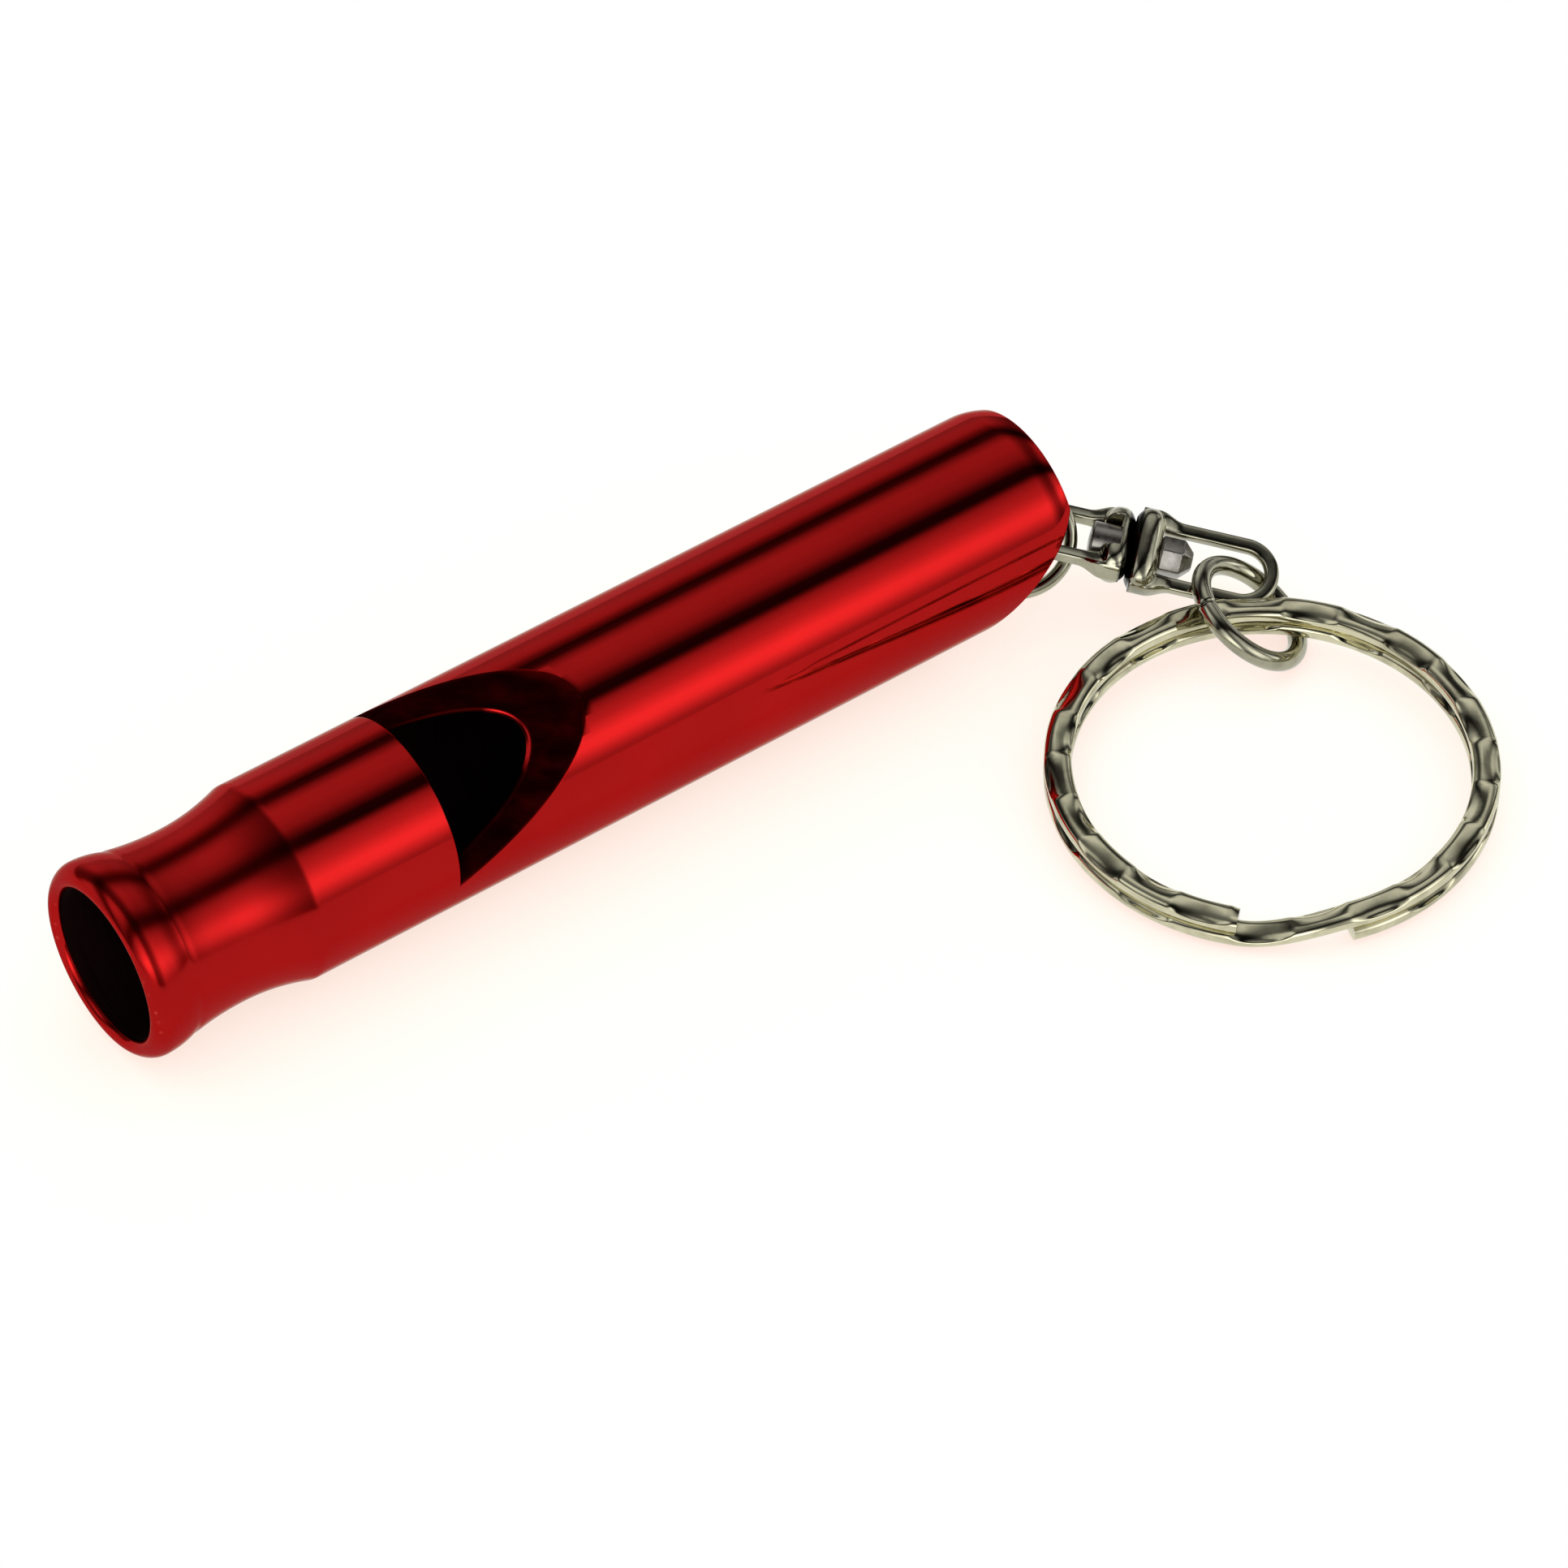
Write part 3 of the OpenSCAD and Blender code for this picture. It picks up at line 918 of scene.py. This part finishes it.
def swivel_rivet():
    """Shank with a domed front head, and a rear head hammered to six flats and a blunt point."""
    base_end = STIRRUP_GAP / 2 + BASE_LEN
    bridge = STIRRUP_GAP / 2 + SLOT_START
    rear_x = base_end + HEAD_GAP
    dome = FRONT_HEAD_LEN - FRONT_HEAD_RIM
    front = [(-base_end - FRONT_HEAD_LEN, 0.0)]
    for step in range(1, DOME_STEPS + 1):
        turn = math.pi / 2 * step / DOME_STEPS
        front.append((-base_end - FRONT_HEAD_RIM - dome * math.cos(turn), FRONT_HEAD_R * math.sin(turn)))
    front += [(-bridge, FRONT_HEAD_R), (-bridge, SHANK_R), (rear_x + HEAD_EDGE, SHANK_R)]
    front.append((rear_x + HEAD_EDGE, 0.0))
    piece = revolve("rivet", front, ROUND_SEGMENTS, closed=False)
    rear_end = rear_x + REAR_HEAD_LEN
    rear = [(rear_x, 0.0), (rear_x, REAR_HEAD_R - HEAD_EDGE), (rear_x + HEAD_EDGE, REAR_HEAD_R)]
    rear += [(rear_end - REAR_CONE_LEN, REAR_HEAD_R), (rear_end - HEAD_EDGE, SHANK_R)]
    rear += [(rear_end, SHANK_R - HEAD_EDGE), (rear_end, 0.0)]
    head = revolve("head", rear, REAR_HEAD_SIDES, closed=False)
    bevel = head.modifiers.new("ease", "BEVEL")
    bevel.width = HEAD_EDGE / 2 * MM
    bevel.segments = 3
    apply_modifiers(head)
    join_objects(piece, head)
    place(piece, swivel_frame(False, 0.0))
    shade_smooth(piece, 35)
    finish_piece(piece, "swivel_rivet", "rivet_steel")


# ---------------------------------------------------------------- split ring

SPLIT_R = 12.5
SPLIT_W = 1.55
SPLIT_TURN_H = 0.95
SPLIT_GAP = 0.08
SPLIT_END_TURN = 222
SPLIT_STEP = 30
SPLIT_STATION = 0.75
SPLIT_POWER = 2.7
SPLIT_POINTS = 48
# Hammer blows: spacing, depth, how blunt they are along the wire, how far each reaches past the
# wire's middle as a share of its half width, and how far it pushes the edge in for its depth.
HAMMER_PITCH = 3.2
HAMMER_DEPTH = 0.3
HAMMER_POWER = 0.7
HAMMER_REACH = 0.4
HAMMER_PUSH = 0.45


def hammer_depth(length, side):
    """Depth of the hammered facets; side runs from -1 on the inner edge to 1 on the outer one."""
    blow = math.floor(length / HAMMER_PITCH)
    share = length / HAMMER_PITCH - blow
    along = math.sin(math.pi * share) ** HAMMER_POWER
    struck = side if blow % 2 else -side
    across = max(0.0, (struck + HAMMER_REACH) / (1 + HAMMER_REACH))
    return HAMMER_DEPTH * along * across


def split_ring():
    """Flat wire in two turns, joined by a smooth step, with hammered upper edges."""
    mount = MOUNTS["key_ring"]
    centre = millimetres(mount["pos_m"])
    tilt = Z_AXIS.rotation_difference(Vector(mount["axis"]).normalized())
    pitch = SPLIT_TURN_H + SPLIT_GAP
    middle_r = SPLIT_R - SPLIT_W / 2
    first = SPLIT_END_TURN + SPLIT_STEP
    total = 2 * 360 - SPLIT_STEP
    step_start = 360 - SPLIT_STEP
    section = superellipse(SPLIT_W, SPLIT_TURN_H, SPLIT_POWER, SPLIT_POINTS)
    stations = []
    count = round(total / SPLIT_STATION)
    for i in range(count + 1):
        turned = total * i / count
        angle = math.radians(first + turned)
        level = pitch * (smooth_step((turned - step_start) / SPLIT_STEP) - 0.5)
        outwards = Vector((math.cos(angle), math.sin(angle), 0))
        length = math.radians(turned) * middle_r
        ring = []
        for across, up in section:
            side = 2 * across / SPLIT_W
            dent = hammer_depth(length, side) * smooth_step(2 * up / SPLIT_TURN_H)
            out_by = middle_r + across - HAMMER_PUSH * dent * side
            point = outwards * out_by + Z_AXIS * (level + up - dent)
            point.rotate(tilt)
            ring.append(centre + point)
        stations.append(ring)
    ring = sweep("split_ring_wire", stations, closed=False)
    shade_smooth(ring, 50)
    finish_piece(ring, "split_ring", "nickel", ["ring_nickel"])


# ---------------------------------------------------------------- stage

CAMERA_ELEVATION = math.radians(44.6)
CAMERA_AZIMUTH = math.radians(-36.63)
CAMERA_DISTANCE = 0.41854
CAMERA_LENS = 174.82
CAMERA_SENSOR = 36.0
CAMERA_TARGET = Vector((0.04055, -0.00578, FLOOR_Z))
FLOOR_HALF = 2000.0
BACKDROP_R = 3500.0
BACKDROP_STEPS = 24

# Brightness of the studio round the tube's axis: (degrees from -Y towards +Z, radiance).
# It follows the brightness that the photograph shows along the barrel.
STUDIO = [
    # below the horizon in front, which the floor mostly hides
    (-90, 1.0), (-45, 0.93), (-5, 0.80), (1, 0.72),
    # bright strip in front
    (5, 0.86), (12, 1.45), (20, 2.2), (27, 2.3), (35, 1.75), (43, 1.20), (51, 0.95), (59, 0.60),
    # dark gap
    (64, 0.14), (67, 0.02), (76, 0.03),
    # ceiling
    (83, 0.22), (91, 0.52), (105, 0.72), (117, 0.74), (124, 0.45),
    # dark gap
    (131, 0.08), (139, 0.03),
    # wall behind, and below the horizon from 180
    (147, 0.28), (155, 0.68), (165, 0.75), (179, 0.58), (195, 0.52), (225, 0.75), (270, 1.0),
]
# Share of that brightness by the X part of the direction.
ENDS = [
    # panel and gap at the mouthpiece's end
    (-1.0, 0.25), (-0.75, 1.3), (-0.55, 1.3), (-0.4, 0.2), (-0.15, 0.25),
    # middle
    (0.0, 0.5), (0.2, 1.0), (0.36, 1.04), (0.46, 0.88), (0.55, 0.9),
    # gap and panel at the tail's end
    (0.72, 0.30), (0.80, 0.30), (0.88, 1.0), (1.0, 0.6),
]
FLOOR_REFLECTED = (0.94, 0.935, 0.92)
# The floor's shade: its darkest colour, what open sky adds to it, and how far it reaches.
FLOOR_SHADE = (0.88, 0.70, 0.62)
FLOOR_SKY = (0.42, 0.42, 0.42)
SHADE_REACH = 60.0


def ramp_of(tree, factor, stops):
    """Grey colour ramp through (position, value) stops; returns its colour."""
    ramp = add_node(tree, "ShaderNodeValToRGB", Fac=factor)
    elements = ramp.color_ramp.elements
    while len(elements) < len(stops):
        elements.new(0.5)
    for element, (position, value) in zip(elements, stops):
        element.position = position
        element.color = (value, value, value, 1)
    return ramp.outputs[0]


def studio_world():
    """Soft studio: bright and dark panels for reflections, even light for everything else."""
    world = bpy.data.worlds.new("studio")
    bpy.context.scene.world = world
    world.use_nodes = True
    tree = world.node_tree
    tree.nodes.clear()
    coords = add_node(tree, "ShaderNodeTexCoord").outputs["Generated"]
    direction = add_node(tree, "ShaderNodeSeparateXYZ", Vector=coords)
    towards = calculate(tree, "MULTIPLY", direction.outputs[1], -1.0)
    angle = calculate(tree, "ARCTAN2", direction.outputs[2], towards)
    lowest = STUDIO[0][0]
    past = calculate(tree, "SUBTRACT", angle, math.radians(lowest))
    turn = calculate(tree, "DIVIDE", calculate(tree, "FLOORED_MODULO", past, 2 * math.pi), 2 * math.pi)
    brightest = max(radiance for _, radiance in STUDIO)
    round_stops = [((degrees - lowest) / 360, radiance / brightest) for degrees, radiance in STUDIO]
    end_stops = [((x + 1) / 2, share) for x, share in ENDS]
    half = calculate(tree, "DIVIDE", calculate(tree, "ADD", direction.outputs[0], 1.0), 2.0)
    level = add_node(
        tree, "ShaderNodeVectorMath", {"operation": "MULTIPLY"},
        in_0=ramp_of(tree, turn, round_stops), in_1=ramp_of(tree, half, end_stops),
    )
    path = add_node(tree, "ShaderNodeLightPath")
    panels = add_node(tree, "ShaderNodeBackground", Color=level.outputs[0], Strength=brightest)
    even = add_node(tree, "ShaderNodeBackground", Color=(1, 1, 1, 1), Strength=1.0)
    lit = add_node(
        tree, "ShaderNodeMixShader",
        in_0=path.outputs["Is Diffuse Ray"], in_1=panels.outputs[0], in_2=even.outputs[0],
    )
    add_node(tree, "ShaderNodeOutputWorld", Surface=lit.outputs[0])


def clear_for(tree, mask, solid, colour=(1, 1, 1, 1)):
    """A shader that is transparent, in a colour, where the mask is 1, and solid elsewhere."""
    clear = add_node(tree, "ShaderNodeBsdfTransparent", Color=colour)
    mixed = add_node(tree, "ShaderNodeMixShader", in_0=mask, in_1=solid, in_2=clear.outputs[0])
    return mixed.outputs[0]


def floor():
    """White floor. The camera sees its soft warm shade, and the chain where a pose takes it lower."""
    signs = [(-1, -1), (1, -1), (1, 1), (-1, 1)]
    corners = [(x * FLOOR_HALF, y * FLOOR_HALF, FLOOR_Z / MM) for x, y in signs]
    made = new_object("floor", corners, [(0, 1, 2, 3)])
    tree = start_material("floor")
    sky = add_node(tree, "ShaderNodeAmbientOcclusion", {"samples": 16}, Distance=SHADE_REACH * MM)
    lit = add_node(
        tree, "ShaderNodeVectorMath", {"operation": "MULTIPLY_ADD"},
        in_0=sky.outputs["AO"], in_1=FLOOR_SKY, in_2=FLOOR_SHADE,
    )
    tint = add_node(
        tree, "ShaderNodeVectorMath", {"operation": "MINIMUM"}, in_0=lit.outputs[0], in_1=(1, 1, 1),
    )
    plain = add_node(tree, "ShaderNodeEmission", Color=(*FLOOR_REFLECTED, 1), Strength=1.0)
    seen = add_node(tree, "ShaderNodeLightPath").outputs["Is Camera Ray"]
    from_above = clear_for(tree, seen, plain.outputs[0], tint.outputs[0])
    from_below = add_node(tree, "ShaderNodeNewGeometry").outputs["Backfacing"]
    add_node(tree, "ShaderNodeOutputMaterial", Surface=clear_for(tree, from_below, from_above))
    set_stage(made, "floor")


def backdrop():
    """White bowl all round, which only the camera sees."""
    half_circle = arc_points(0, 0, BACKDROP_R, 0, 180, BACKDROP_STEPS)
    made = revolve("backdrop", half_circle, 2 * BACKDROP_STEPS, closed=False)
    tree = start_material("backdrop")
    glow = add_node(tree, "ShaderNodeEmission", Color=(1, 1, 1, 1), Strength=1.0)
    add_node(tree, "ShaderNodeOutputMaterial", Surface=glow.outputs[0])
    made.visible_diffuse = False
    made.visible_glossy = False
    made.visible_transmission = False
    made.visible_shadow = False
    set_stage(made, "backdrop")


def set_stage(made, material):
    """Gives a stage object its material, whose glow lights only the rays that meet it."""
    bpy.data.materials[material].cycles.emission_sampling = "NONE"
    made.data.materials.append(bpy.data.materials[material])


def camera():
    """Camera at the photograph's viewing angle."""
    back = Vector((
        math.sin(CAMERA_AZIMUTH) * math.cos(CAMERA_ELEVATION),
        -math.cos(CAMERA_AZIMUTH) * math.cos(CAMERA_ELEVATION),
        math.sin(CAMERA_ELEVATION),
    ))
    made = bpy.data.objects.new("camera", bpy.data.cameras.new("camera"))
    bpy.context.scene.collection.objects.link(made)
    made.data.sensor_width = CAMERA_SENSOR
    made.data.lens = CAMERA_LENS
    made.data.clip_start = 0.01
    made.location = CAMERA_TARGET + back * CAMERA_DISTANCE
    made.rotation_mode = "QUATERNION"
    made.rotation_quaternion = (-back).to_track_quat("-Z", "Y")
    bpy.context.scene.camera = made


# ---------------------------------------------------------------- build

whistle_tube()
plugs()
jump_ring("tail_ring_wire", "tail_jump_ring", "tail_ring_swing", TAIL_WIRE_R, 150)
jump_ring("link_ring_wire", "link_jump_ring", "link_ring_swing", LINK_WIRE_R, 95)
stirrup("front_stirrup", "front_swivel_frame", True, 0.0, SHANK_R)
stirrup("rear_stirrup", "rear_swivel_frame", False, REAR_ROLL, SHANK_R + RUN_GAP)
swivel_rivet()
split_ring()
floor()
backdrop()
studio_world()
camera()
bpy.context.scene.view_settings.view_transform = "Standard"
